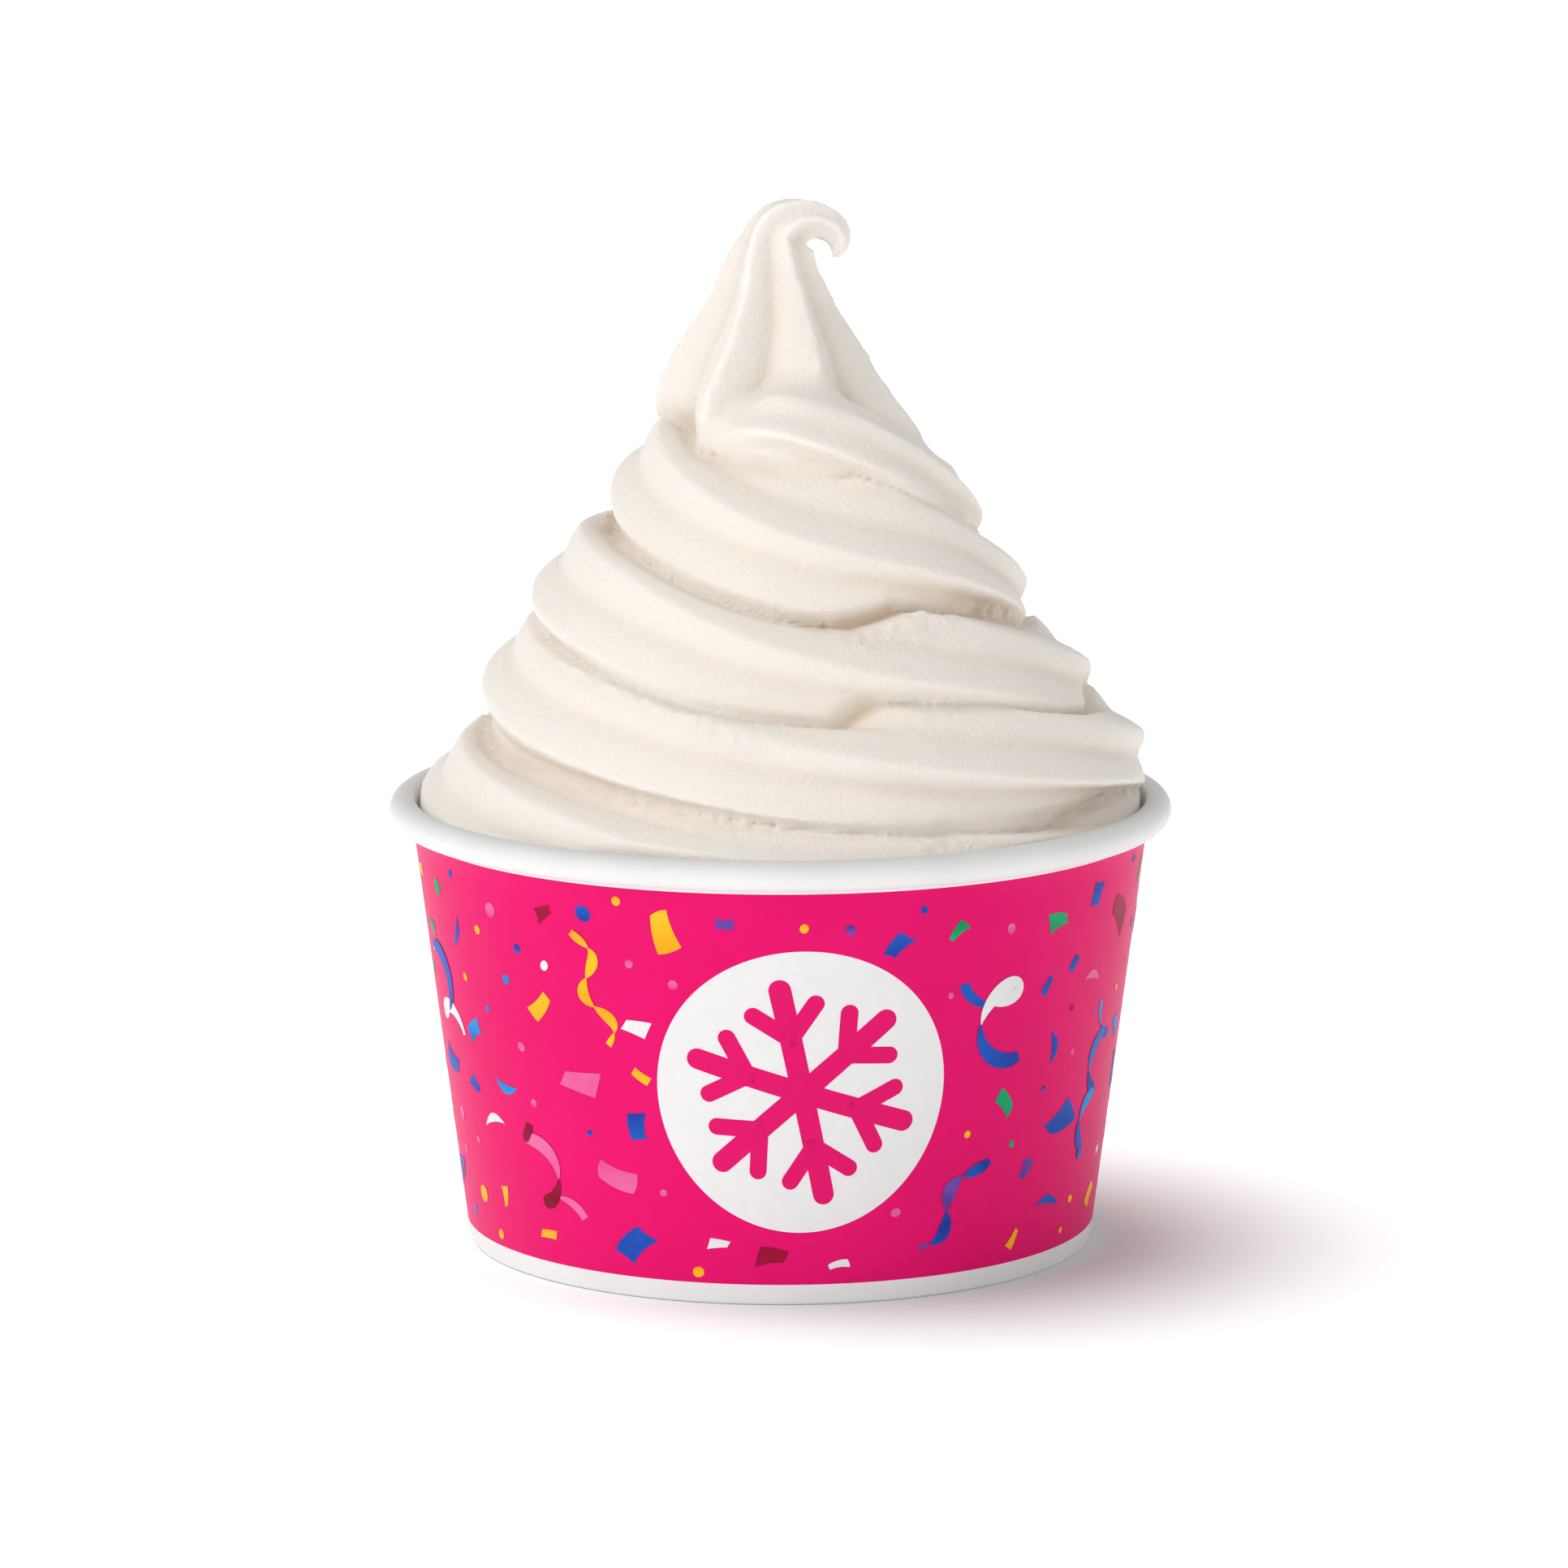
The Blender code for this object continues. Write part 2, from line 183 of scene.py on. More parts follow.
# Torn patches: they lie below a height, and fade in under it; where they are on
# the lower turn, as shares of the rope, and how rough they are there and on crests
TORN_BELOW = 112.0
TORN_FADE = 4.0
TORN_AT = 0.25
TORN_REACH = 0.22
TORN_RELIEF = 0.22
TORN_EDGE_AT = 0.20
TORN_EDGE_REACH = 0.08
TORN_EDGE_RELIEF = 0.40
TORN_CREST_RELIEF = 0.25

# Relief of the small lumps and of the grain all over the swirl
LUMP_RELIEF = 0.10
GRAIN_RELIEF = 0.03

# Seam between the peak and the rope's start, seam at the lip, and other seams:
# reach as a share and strength; and the number of times they are evened out
SEAM_SHARE = 0.30
SEAM_STRENGTH = 0.7
LIP_SEAM_SHARE = 0.24
LIP_SEAM_STRENGTH = 0.7
OTHER_SEAM_SHARE = 0.13
OTHER_SEAM_STRENGTH = 0.17
SEAM_STEPS = 90

# Print: badge on the front and confetti all round
BADGE_AZIMUTH = 3.6
BADGE_HEIGHT = 32.0
BADGE_RADIUS = 21.0
CONFETTI_SEED = 41
INK_LIFT = 0.03

# Snow crystal on the badge
CRYSTAL_TILT = 12.0
ARM_LENGTH = 15.6
ARM_WIDTH = 3.1
BRANCH_FOOT = 8.2
BRANCH_SIDE = 4.4
BRANCH_END = 12.6
BRANCH_WIDTH = 2.5

# Colours in linear values: each ink has a deep and a bright side
INKS = {
    "white": ((0.74, 0.73, 0.73), (0.82, 0.81, 0.81)),
    "orange": ((0.88, 0.36, 0.010), (0.95, 0.50, 0.02)),
    "blue": ((0.012, 0.040, 0.32), (0.016, 0.10, 0.50)),
    "sky": ((0.004, 0.14, 0.50), (0.01, 0.27, 0.70)),
    "green": ((0.004, 0.24, 0.08), (0.01, 0.42, 0.17)),
    "violet": ((0.07, 0.025, 0.24), (0.17, 0.07, 0.42)),
    "rose": ((0.72, 0.06, 0.25), (0.78, 0.15, 0.36)),
    "wine": ((0.20, 0.003, 0.02), (0.42, 0.004, 0.05)),
    "magenta": ((0.68, 0.005, 0.130), (0.76, 0.006, 0.150)),
}
PINK = (0.77, 0.004, 0.150)
PINK_DARKER = (0.74, 0.003, 0.136)
WHITE = (0.83, 0.83, 0.82)
WHITE_DARKER = (0.79, 0.79, 0.78)
YOGURT_FACE = (0.825, 0.775, 0.720)
YOGURT_CLOUD = (0.835, 0.78, 0.715)
# Painted shade in the valleys
YOGURT_VALLEY_PAINTED_SHADE = (0.71, 0.60, 0.49)
# Painted highlight on the ridges
YOGURT_RIDGE_PAINTED_HIGHLIGHT = (0.90, 0.87, 0.83)
# Painted shade in the crevices between the turns
YOGURT_CREVICE_PAINTED_SHADE = (0.78, 0.62, 0.45)

# Floor: its half width, its grey and its own faint light
FLOOR_HALF = 4000.0
FLOOR_GREY = 0.52
FLOOR_GLOW = 0.13

# Light from all round: at the sides and overhead
SKY_SIDES = 0.76
SKY_TOP = 0.46

# Camera, found from the photograph: lens and sensor in millimetres, place in metres,
# tilt in radians, and sideways shift as a share of the picture's width
LENS = 184.4
SENSOR = 36.0
CAMERA_PLACE = (0.0, -1.1627, 0.279)
CAMERA_TILT = 0.18
CAMERA_SHIFT = 4.5 / 1932.0


def wall_radius(height):
    """Outer radius of the cup's wall at a height."""
    slope = (WALL_TOP_RADIUS - FOOT_RADIUS) / WALL_TOP_HEIGHT
    return FOOT_RADIUS + slope * height


def link(name, mesh):
    obj = bpy.data.objects.new(name, mesh)
    bpy.context.scene.collection.objects.link(obj)
    return obj


def mesh_object(name, points, faces):
    """Object from points in millimetres and faces."""
    mesh = bpy.data.meshes.new(name)
    mesh.from_pydata((np.asarray(points) * MM).tolist(), [], faces)
    mesh.validate()
    return link(name, mesh)


def shade_smooth(obj):
    obj.data.polygons.foreach_set("use_smooth", [True] * len(obj.data.polygons))


def apply_modifier(obj, kind, **settings):
    modifier = obj.modifiers.new(kind.title(), kind)
    for key, value in settings.items():
        setattr(modifier, key, value)
    bpy.context.view_layer.objects.active = obj
    bpy.ops.object.modifier_apply(modifier=modifier.name)


def arc(centre_radius, centre_height, size, start, end, steps):
    points = []
    for k in range(steps + 1):
        angle = math.radians(start + (end - start) * k / steps)
        points.append((centre_radius + size * math.cos(angle), centre_height + size * math.sin(angle)))
    return points


def lathe(name, profile, segments):
    """Closed solid from (radius, height) points in order."""
    points = []
    rows = []
    for radius, height in profile:
        if radius < 1e-6:
            rows.append([len(points)])
            points.append((0.0, 0.0, height))
            continue
        rows.append(list(range(len(points), len(points) + segments)))
        for k in range(segments):
            angle = 2.0 * math.pi * k / segments
            points.append((radius * math.cos(angle), radius * math.sin(angle), height))
    faces = []
    for i, first in enumerate(rows):
        second = rows[(i + 1) % len(rows)]
        if len(first) == 1 and len(second) == 1:
            continue
        for k in range(segments):
            n = (k + 1) % segments
            if len(first) == 1:
                faces.append((first[0], second[n], second[k]))
            elif len(second) == 1:
                faces.append((first[k], first[n], second[0]))
            else:
                faces.append((first[k], first[n], second[n], second[k]))
    obj = mesh_object(name, points, faces)
    bm = bmesh.new()
    bm.from_mesh(obj.data)
    bmesh.ops.recalc_face_normals(bm, faces=bm.faces)
    bm.to_mesh(obj.data)
    bm.free()
    return obj


# Materials

class Nodes:
    """Short way to build a material's node tree."""

    def __init__(self, name, roughness):
        self.material = bpy.data.materials.new(name)
        self.material.use_nodes = True
        self.tree = self.material.node_tree
        self.shader = self.tree.nodes["Principled BSDF"]
        self.shader.inputs["Roughness"].default_value = roughness
        self.place = self.add("ShaderNodeTexCoord").outputs["Object"]

    def add(self, kind, **settings):
        node = self.tree.nodes.new(kind)
        for key, value in settings.items():
            setattr(node, key, value)
        return node

    def join(self, source, target):
        self.tree.links.new(source, target)

    def noise(self, scale, detail=2.0, rough=0.5):
        node = self.add("ShaderNodeTexNoise")
        node.inputs["Scale"].default_value = scale
        node.inputs["Detail"].default_value = detail
        node.inputs["Roughness"].default_value = rough
        self.join(self.place, node.inputs["Vector"])
        return node.outputs["Fac"]

    def attribute(self, name):
        return self.add("ShaderNodeAttribute", attribute_name=name).outputs["Fac"]

    def span(self, value, low, high, new_low=0.0, new_high=1.0):
        node = self.add("ShaderNodeMapRange", interpolation_type="SMOOTHSTEP")
        self.join(value, node.inputs["Value"])
        limits = {"From Min": low, "From Max": high, "To Min": new_low, "To Max": new_high}
        for key, number in limits.items():
            node.inputs[key].default_value = number
        return node.outputs["Result"]

    def math(self, operation, first, second):
        node = self.add("ShaderNodeMath", operation=operation)
        for value, socket in ((first, node.inputs[0]), (second, node.inputs[1])):
            if isinstance(value, float):
                socket.default_value = value
            else:
                self.join(value, socket)
        return node.outputs[0]

    def mix(self, amount, first, second):
        node = self.add("ShaderNodeMix", data_type="RGBA")
        self.join(amount, node.inputs["Factor"])
        for value, name in ((first, "A_Color"), (second, "B_Color")):
            socket = next(s for s in node.inputs if s.identifier == name)
            if isinstance(value, tuple):
                socket.default_value = (*value, 1.0)
            else:
                self.join(value, socket)
        return next(s for s in node.outputs if s.identifier == "Result_Color")

    def bump(self, height, distance, strength, under=None):
        node = self.add("ShaderNodeBump")
        node.inputs["Distance"].default_value = distance * MM
        node.inputs["Strength"].default_value = strength
        self.join(height, node.inputs["Height"])
        if under is not None:
            self.join(under, node.inputs["Normal"])
        return node.outputs["Normal"]

    def set(self, **values):
        for name, value in values.items():
            self.shader.inputs[name.replace("_", " ")].default_value = value


def add_tooth(n):
    """Tooth and dull coating of printed paper board."""
    fibre = n.bump(n.noise(900.0, 3.0, 0.6), 0.05, 0.35)
    n.join(n.bump(n.noise(130.0, 2.0, 0.5), 0.25, 0.25, fibre), n.shader.inputs["Normal"])
    n.set(Specular_IOR_Level=0.08)


def board_material(name, colour, darker):
    """Coated paper board: faint mottling and a fine tooth."""
    n = Nodes(name, 0.42)
    cloud = n.span(n.noise(60.0, 4.0, 0.6), 0.3, 0.7)
    n.join(n.mix(cloud, darker, colour), n.shader.inputs["Base Color"])
    add_tooth(n)
    return n.material


def ink_material(name, deep, bright):
    """Printed ink: two tones across each shape, with the board's tooth."""
    n = Nodes(name, 0.42)
    tone = n.span(n.attribute("tone"), 0.0, 1.0)
    grain = n.span(n.noise(420.0, 2.0, 0.5), 0.35, 0.65, 0.0, 0.2)
    n.join(n.mix(n.math("ADD", tone, grain), deep, bright), n.shader.inputs["Base Color"])
    add_tooth(n)
    return n.material


def yogurt_material():
    """Frozen yogurt: soft light inside, painted shade in valleys and crevices, a painted highlight on
    ridges, fine icy grain and rough torn patches.
    """
    n = Nodes("frozen_yogurt", 0.5)
    # Painted shade in the crevices between the turns, strongest where the groove is deepest
    painted_crevice_shade = n.span(n.attribute("painted_crevice_shade"), 0.15, 0.9)
    # Painted shade in the valleys
    valley = n.span(n.attribute("valley"), 0.40, 0.85)
    # Painted highlight along the ridge crests
    painted_highlight = n.span(n.attribute("painted_highlight"), 0.2, 1.0)
    face = n.mix(valley, YOGURT_FACE, YOGURT_VALLEY_PAINTED_SHADE)
    body = n.mix(painted_highlight, face, YOGURT_RIDGE_PAINTED_HIGHLIGHT)
    base = n.mix(painted_crevice_shade, body, YOGURT_CREVICE_PAINTED_SHADE)
    cloud = n.span(n.noise(35.0, 3.0, 0.6), 0.35, 0.7, 0.0, 0.3)
    n.join(n.mix(cloud, base, YOGURT_CLOUD), n.shader.inputs["Base Color"])
    patches = n.span(n.attribute("torn"), 0.05, 0.7)
    grain = n.noise(1500.0, 3.0, 0.6)
    coarse = n.noise(800.0, 4.0, 0.7)
    fine = n.bump(grain, 0.35, 0.7)
    rough = n.bump(n.math("MULTIPLY", patches, coarse), 0.7, 0.6, fine)
    n.join(rough, n.shader.inputs["Normal"])
    n.set(Subsurface_Weight=0.35, Subsurface_Scale=0.0010, Specular_IOR_Level=0.35)
    n.shader.inputs["Subsurface Radius"].default_value = (1.0, 0.55, 0.3)
    return n.material


# Swirl

def smooth(xs, ys, x):
    """Cubic curve through the points (xs, ys), read at the places x."""
    xs = np.asarray(xs, float)
    ys = np.asarray(ys, float)
    last = len(xs) - 1
    i = np.clip(np.searchsorted(xs, x) - 1, 0, last - 1)
    low = np.maximum(np.arange(last + 1) - 1, 0)
    high = np.minimum(np.arange(last + 1) + 1, last)
    slopes = (ys[high] - ys[low]) / (xs[high] - xs[low])
    step = xs[i + 1] - xs[i]
    t = (x - xs[i]) / step
    a = 2.0 * t ** 3 - 3.0 * t ** 2 + 1.0
    b = t ** 3 - 2.0 * t ** 2 + t
    c = -2.0 * t ** 3 + 3.0 * t ** 2
    d = t ** 3 - t ** 2
    return a * ys[i] + b * step * slopes[i] + c * ys[i + 1] + d * step * slopes[i + 1]


def ridge_size(phi, phase, depth):
    """Size of a star section in a direction, where its ridges have size 1."""
    wave = np.arcsin(np.abs(np.sin(0.5 * RIDGES * (phi - np.radians(phase))))) / (0.5 * math.pi)
    return 1.0 - depth * wave ** RIDGE_SHARPNESS


def star_section(width, tall, lean, phase, depth):
    """Sideways and upward distances of the points of a star section."""
    phi = 2.0 * math.pi * np.arange(SECTION_POINTS) / SECTION_POINTS
    size = ridge_size(phi, phase, depth)
    side = (width * np.cos(phi) - lean * tall * np.sin(phi)) * size
    return side, tall * np.sin(phi) * size


def rope_phase(turn):
    """Angle of the rope's first ridge: it twists evenly, and is turned near its start."""
    extra = START_TURNED * np.clip((0.30 - turn) / 0.40, 0.0, 1.0)
    return FIRST_RIDGE + extra - TWIST_PER_TURN * turn


def rope_rows():
    rows = list(START)
    radii = [value for turn in TURN_RADIUS for value in turn]
    heights = [value for turn in TURN_HEIGHT for value in turn]
    for k in range(1, len(radii)):
        rows.append((0.125 * k, radii[k], heights[k], ROPE_HALF_WIDTH, ROPE_HALF_HEIGHT))
    return list(zip(*rows))


ROPE = rope_rows()


def rope_at(turn):
    """Outer radius, height, half width, half height and lean of the rope."""
    radius, height, width, tall = [smooth(ROPE[0], column, turn) for column in ROPE[1:]]
    angle = 2.0 * math.pi * turn
    front = np.maximum(0.0, -np.sin(angle))
    right = np.maximum(0.0, np.cos(angle)) ** 2
    tall = tall * (1.0 - FRONT_FLATTENING * front - RIGHT_FLATTENING * right)
    lean = LEAN + RIGHT_LEAN * np.cos(angle) + FRONT_LEAN * front
    return radius, height, width, tall, lean


def turn_rings():
    steps = int((ROPE[0][-1] - ROPE[0][0]) * SWEEP_STEPS_PER_TURN)
    rings = []
    for turn in np.linspace(ROPE[0][0], ROPE[0][-1], steps + 1):
        radius, height, width, tall, lean = rope_at(turn)
        angle = 2.0 * math.pi * turn
        side, rise = star_section(width, tall, lean, rope_phase(turn), RIDGE_DEPTH)
        distance = radius - width + side
        ring = (distance * math.cos(angle), distance * math.sin(angle), height + rise)
        rings.append(np.stack(ring, axis=1))
    return rings


def peak_rings():
    knots = np.arange(len(PEAK))
    columns = list(zip(*PEAK))
    places = np.linspace(0.0, len(PEAK) - 1.0, 16 * (len(PEAK) - 1) + 1)
    centres = np.stack([smooth(knots, columns[axis], places) for axis in range(3)], axis=1)
    sizes = smooth(knots, columns[3], places)
    angles = smooth(knots, columns[4], places)
    tangents = np.gradient(centres, axis=0)
    rings = []
    for centre, size, ridge, tangent in zip(centres, sizes, angles, tangents):
        along = tangent / np.linalg.norm(tangent)
        if centre[2] < PEAK_LEVEL_BELOW:
            along = np.array([0.0, 0.0, 1.0])
        forward = np.array([0.0, -1.0, 0.0])
        forward = forward - along * np.dot(forward, along)
        forward /= np.linalg.norm(forward)
        right = np.cross(along, forward)
        side, rise = star_section(size, size, 0.0, ridge, PEAK_RIDGE_DEPTH)
        rings.append(centre + np.outer(side, forward) + np.outer(rise, right))
    return rings


def nearness(points):
    """For each point and each turn of the rope, the peak first: 1 on its surface, more outside."""
    x, y, z = points.T
    azimuth = np.mod(np.arctan2(y, x), 2.0 * math.pi) / (2.0 * math.pi)
    levels = [row for row in PEAK if row[2] < PEAK_LEVEL_BELOW]
    columns = list(zip(*levels))
    middle_x, middle_y, size, ridge = [np.interp(z, columns[2], columns[k]) for k in (0, 1, 3, 4)]
    side = middle_y - y
    rise = x - middle_x
    phi = np.arctan2(rise, side)
    share = np.hypot(side, rise) / (size * ridge_size(phi, ridge, PEAK_RIDGE_DEPTH))
    share[z < levels[0][2]] = 9.0
    share[z > levels[-1][2]] = 1.0
    shares = [share]
    for number in range(-1, 5):
        turn = azimuth + number
        inside = (turn >= ROPE[0][0]) & (turn <= ROPE[0][-1])
        turn = np.clip(turn, ROPE[0][0], ROPE[0][-1])
        radius, height, width, tall, lean = rope_at(turn)
        rise = z - height
        side = np.hypot(x, y) - radius + width + lean * rise
        phi = np.arctan2(rise / tall, side / width)
        share = np.hypot(side / width, rise / tall) / ridge_size(phi, rope_phase(turn), RIDGE_DEPTH)
        shares.append(np.where(inside, share, 9.0))
    return np.stack(shares, axis=1)


def nearest_parts(shares):
    """For each point, the parts of the swirl in order of nearness, and the gap between the first two."""
    nearest = np.sort(shares, axis=1)
    return np.argsort(shares, axis=1), nearest[:, 1] - nearest[:, 0]


def keep_inside_cup(points):
    """Pull points below the rim inside the wall."""
    radius = np.hypot(points[:, 0], points[:, 1])
    inside = np.minimum(wall_radius(points[:, 2]) - BOARD, RIM_CENTRE_RADIUS - RIM_TUBE)
    scale = np.minimum(1.0, (inside - 2.0 * GAP) / np.maximum(radius, 1e-6))
    scale[points[:, 2] > FREE_ABOVE] = 1.0
    kept = points.copy()
    kept[:, :2] *= scale[:, None]
    return kept


def sweep(name, rings):
    """Closed tube through rings of points."""
    ends = [ring.mean(axis=0)[None] for ring in (rings[0], rings[-1])]
    points = keep_inside_cup(np.concatenate(rings + ends))
    count = len(rings) * SECTION_POINTS
    faces = []
    for r in range(len(rings) - 1):
        start = r * SECTION_POINTS
        for k in range(SECTION_POINTS):
            n = (k + 1) % SECTION_POINTS
            faces.append((start + k, start + n, start + SECTION_POINTS + n, start + SECTION_POINTS + k))
    last = count - SECTION_POINTS
    for k in range(SECTION_POINTS):
        n = (k + 1) % SECTION_POINTS
        faces.append((n, k, count))
        faces.append((last + k, last + n, count + 1))
    return mesh_object(name, points, faces)


def join(objects, name):
    bm = bmesh.new()
    for obj in objects:
        bm.from_mesh(obj.data)
        bpy.data.objects.remove(obj, do_unlink=True)
    bmesh.ops.recalc_face_normals(bm, faces=bm.faces)
    mesh = bpy.data.meshes.new(name)
    bm.to_mesh(mesh)
    bm.free()
    return link(name, mesh)


def read_vectors(collection, key):
    values = np.empty(3 * len(collection), np.float32)
    collection.foreach_get(key, values)
    return values.reshape(-1, 3).astype(float)


def valleys(obj, steps):
    """For each point, how far in millimetres it lies below the evened-out surface."""
    copy = link("smoothed", obj.data.copy())
    apply_modifier(copy, "SMOOTH", factor=0.5, iterations=steps)
    points = read_vectors(obj.data.vertices, "co")
    smoothed = read_vectors(copy.data.vertices, "co")
    normals = read_vectors(copy.data.vertices, "normal")
    bpy.data.objects.remove(copy, do_unlink=True)
    return np.einsum("ij,ij->i", smoothed - points, normals) / MM


def set_attribute(obj, name, values):
    data = obj.data.attributes.new(name, "FLOAT", "POINT").data
    data.foreach_set("value", values.astype(np.float32))


def move_out(obj, distances):
    """Move each point along its normal by a distance in millimetres."""
    points = read_vectors(obj.data.vertices, "co")
    normals = read_vectors(obj.data.vertices, "normal")
    moved = points + normals * (distances * MM)[:, None]
    obj.data.vertices.foreach_set("co", moved.astype(np.float32).ravel())
    obj.data.update()


def noise_at(points, scale, offset=0.0):
    shift = Vector((offset, 2.0 * offset, -offset))
    return np.array([noise.noise(Vector(point) * scale + shift) for point in points])


def even_out(obj, values, steps, share):
    """Draw each point's values towards the mean of its neighbours' values, step by step."""
    edges = np.empty(2 * len(obj.data.edges), np.int32)
    obj.data.edges.foreach_get("vertices", edges)
    near = np.concatenate((edges[0::2], edges[1::2]))
    far = np.concatenate((edges[1::2], edges[0::2]))
    count = np.bincount(near, minlength=len(values))[:, None]
    for step in range(steps):
        sums = [np.bincount(near, column[far], len(values)) for column in values.T]
        values = values + share * (np.stack(sums, axis=1) / count - values)
    return values


def remesh(obj):
    apply_modifier(obj, "REMESH", mode="VOXEL", voxel_size=VOXEL * MM, adaptivity=0.0)


def fill_gaps(obj):
    """Fill the narrow gaps: the surface is moved out, joined where it meets, and moved back."""
    def distances():
        heights = read_vectors(obj.data.vertices, "co")[:, 2] / MM
        return GAP_FILLED * np.clip((FILLED_BELOW - heights) / FILLED_FADE, 0.0, 1.0)

    move_out(obj, distances())
    remesh(obj)
    move_out(obj, -distances())


def soften(obj):
    """Round off the seams: most where the rope starts out of the peak and at the lip."""
    points = read_vectors(obj.data.vertices, "co")
    shares = nearness(points / MM)
    weight = SEAM_STRENGTH * np.exp(-((shares[:, 0] - shares[:, 1]) / SEAM_SHARE) ** 2)
    weight[np.minimum(shares[:, 0], shares[:, 1]) > np.min(shares[:, 2:], axis=1)] = 0.0
    order, gap = nearest_parts(shares)
    at_lip = order[:, 0] * order[:, 1] == 2
    reach = np.where(at_lip, LIP_SEAM_SHARE, OTHER_SEAM_SHARE)
    strength = np.where(at_lip, LIP_SEAM_STRENGTH, OTHER_SEAM_STRENGTH)
    weight = np.maximum(weight, strength * np.exp(-(gap / reach) ** 2))
    points = even_out(obj, points, SEAM_STEPS, weight[:, None])
    obj.data.vertices.foreach_set("co", points.astype(np.float32).ravel())
    obj.data.update()


def carve(obj):
    """Crevices between the turns, torn edges beside them, and small lumps; also the masks for the
    painted shade in crevices and valleys and for the painted highlight on ridges.
    """
    points = read_vectors(obj.data.vertices, "co")
    heights = points[:, 2] / MM
    order, gap = nearest_parts(nearness(points / MM))
    lower = order[:, 0] > order[:, 1]
    reach = np.where(lower, GROOVE_SHARE, GROOVE_LIP_SHARE)
    groove = np.exp(-(gap / reach) ** 2)
    at_start = order[:, 0] + order[:, 1] == 1
    at_lip = order[:, 0] * order[:, 1] == 2
    strength = np.clip(0.75 + 1.3 * noise_at(points, 24.0, 2.0), 0.3, 1.2)
    strength[(order[:, 0] == 0) | (order[:, 1] == 0)] *= PEAK_GROOVE
    open_lip = LIP_GROOVE * np.clip(points[:, 0] / MM / LIP_FADE, 0.1, 1.0)
    strength *= np.where(at_lip, open_lip, 1.0)
    groove *= np.where(at_start, 0.0, strength)
    groove = even_out(obj, groove[:, None], 2, 0.6)[:, 0]
    # How deep each point lies in a valley: it masks the painted shade in the valleys, which is weaker
    # low down, and finds the crests for the torn relief
    valley = np.clip(0.7 * valleys(obj, VALLEY_STEPS), -1.0, 1.0)
    tinted = np.clip((heights - VALLEY_FROM) / VALLEY_FADE, 0.2, 1.0)
    valley = np.where(valley > 0.0, valley * tinted, valley)
    # How far each point stands out on a ridge crest: the mask of the painted highlight
    painted_highlight = np.clip(-valleys(obj, EDGE_STEPS) / EDGE_HEIGHT, 0.0, 1.0)
    patch = np.clip(2.6 * noise_at(points, 42.0, 5.0) + 0.25, 0.0, 1.0)
    patch *= np.clip((TORN_BELOW - heights) / TORN_FADE, 0.0, 1.0)
    beside = patch * np.exp(-((gap - TORN_EDGE_AT) / TORN_EDGE_REACH) ** 2) * lower
    torn = patch * np.exp(-((gap - TORN_AT) / TORN_REACH) ** 2) * lower
    fine = noise_at(points, 520.0)
    crest = np.clip(-valley / 0.6, 0.0, 1.0)
    shift = LUMP_RELIEF * noise_at(points, 170.0) + GRAIN_RELIEF * noise_at(points, 800.0)
    shift -= GROOVE_DEPTH * groove
    shift += TORN_EDGE_RELIEF * beside * fine + TORN_RELIEF * torn * fine
    shift += TORN_CREST_RELIEF * crest * patch * fine
    move_out(obj, shift)
    # Mask of the painted shade in the crevices between the turns
    set_attribute(obj, "painted_crevice_shade", np.maximum(groove, 0.0) ** 2)
    # Mask of the painted shade in the valleys
    set_attribute(obj, "valley", 0.5 + 0.5 * valley)
    # Mask of the painted highlight along the ridge crests
    set_attribute(obj, "painted_highlight", painted_highlight)
    set_attribute(obj, "torn", torn)


def build_swirl():
    turns = sweep("turns", turn_rings())
    peak = sweep("peak", peak_rings())
    profile = [(0.0, CORE_FOOT), (CORE_FOOT_RADIUS, CORE_FOOT)]
    profile.append((CORE_FILL_RADIUS, FILL_TOP - 1.0))
    for turn in (3, 2, 1, 0):
        profile.append((TURN_RADIUS[turn][4] - CORE_INSET, TURN_HEIGHT[turn][4]))
    profile.append((0.0, CORE_TOP))
    core = lathe("core", profile, CORE_SEGMENTS)
    swirl = join((turns, peak, core), "yogurt_swirl")
    remesh(swirl)
    fill_gaps(swirl)
    apply_modifier(swirl, "SMOOTH", factor=0.5, iterations=1)
    soften(swirl)
    carve(swirl)
    shade_smooth(swirl)
    swirl.data.materials.append(yogurt_material())
    return swirl


def build_fill(material):
    """Yogurt in the cup under the swirl."""
    bottom = BASE_UNDERSIDE + BASE_THICKNESS + GAP
    profile = [(0.0, bottom)]
    for height in (bottom, FILL_RING, FILL_TOP - FILL_EDGE):
        profile.append((wall_radius(height) - BOARD - GAP, height))
    profile += [(FILL_TOP_RADIUS, FILL_TOP), (0.0, FILL_TOP)]
    fill = lathe("yogurt_fill", profile, FILL_SEGMENTS)
    shade_smooth(fill)
    fill.data.materials.append(material)
    return fill


# Cup

